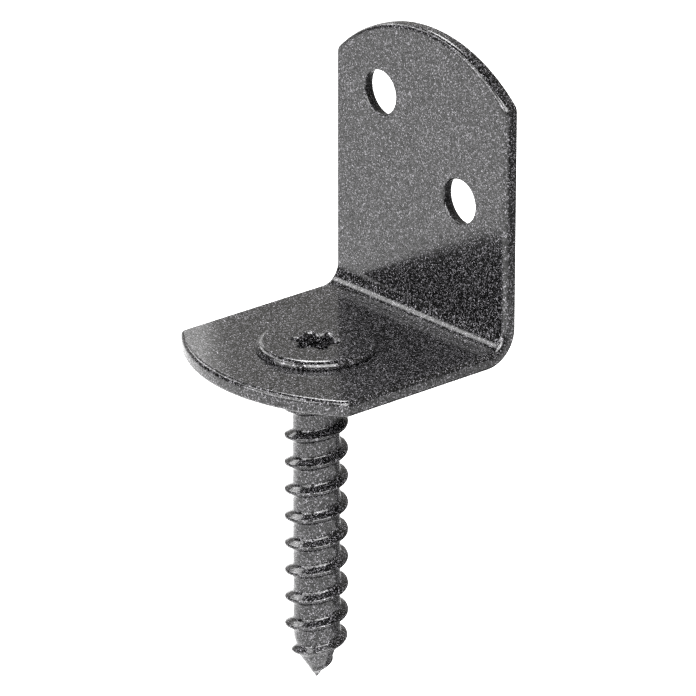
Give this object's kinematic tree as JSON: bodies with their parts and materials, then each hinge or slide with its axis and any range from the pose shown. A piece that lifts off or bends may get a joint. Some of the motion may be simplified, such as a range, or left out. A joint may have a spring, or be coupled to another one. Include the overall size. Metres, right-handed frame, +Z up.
{
  "type": "fence bracket",
  "caption": "Folded steel angle with rounded ends, diagonal screw holes in its upright and a captive flat-head wood screw through its foot, for fixing a fence panel to a post.",
  "frame": {"origin": "on the screw's axis, in the plane of the foot's underside, which lies on the post", "axes": "+X along the fold, +Y from the screw's axis towards the upright's back face, +Z up along the screw's axis from its tip to its head"},
  "size_m": [0.03, 0.0318, 0.0783],
  "materials": {
    "bracket_coat": "dark grey metallic-flake coat, glossy",
    "screw_coat": "dark grey metallic-flake coat, glossy"
  },
  "bodies": {
    "bracket": {"angle_bracket": "bracket_coat"},
    "screw": {"wood_screw": "screw_coat"}
  },
  "joints": [
    {"name": "screw_turn", "type": "hinge", "parent": "bracket", "child": "screw", "pos_m": [0, 0, 0], "axis": [0, 0, 1], "continuous": true}
  ]
}
